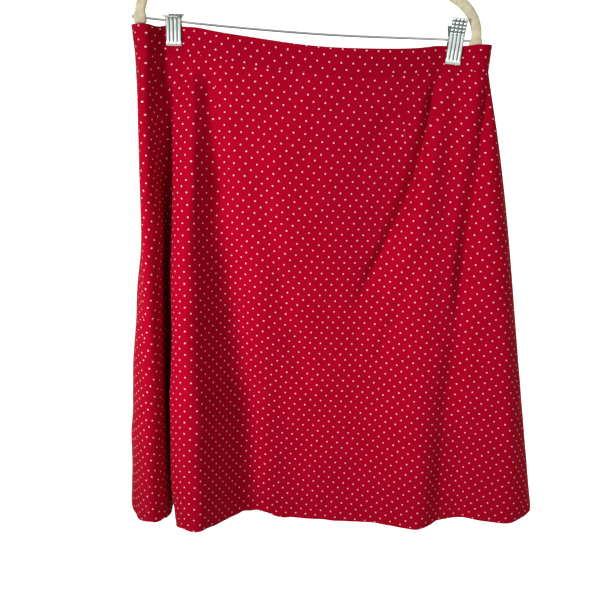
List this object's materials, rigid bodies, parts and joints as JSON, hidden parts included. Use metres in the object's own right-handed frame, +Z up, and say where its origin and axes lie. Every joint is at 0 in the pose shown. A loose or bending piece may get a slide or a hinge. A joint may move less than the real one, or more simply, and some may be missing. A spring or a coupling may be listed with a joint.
{
  "type": "a-line skirt on a clip hanger",
  "caption": "Knee-length a-line skirt with a waistband and two front darts, hung by ribbed spring clips from the crossbar of a wire-hooked flocked hanger.",
  "frame": {"origin": "inside top of the hook, where a rail carries the hanger", "axes": "+Z up; +X to the right of a viewer who faces the skirt's front; +Y away from that viewer, towards the skirt's back"},
  "size_m": [0.5641, 0.1876, 0.8277],
  "materials": {
    "panel_cloth": "matt crimson cotton with white pin dots",
    "band_cloth": "matt crimson cotton with white pin dots, interfaced",
    "flock": "cream flocking over moulded plastic",
    "bright_steel": "bright plated steel"
  },
  "bodies": {
    "root": {"front_panel": "panel_cloth", "back_panel": "panel_cloth", "waistband_front": "band_cloth", "waistband_back": "band_cloth", "hanger_body": "flock", "hanger_rod": "bright_steel", "hook": "bright_steel", "hook_collar": "bright_steel", "clip_front_left": "bright_steel", "clip_back_left": "bright_steel", "clip_spring_left": "bright_steel", "clip_front_right": "bright_steel", "clip_back_right": "bright_steel", "clip_spring_right": "bright_steel"}
  },
  "joints": []
}
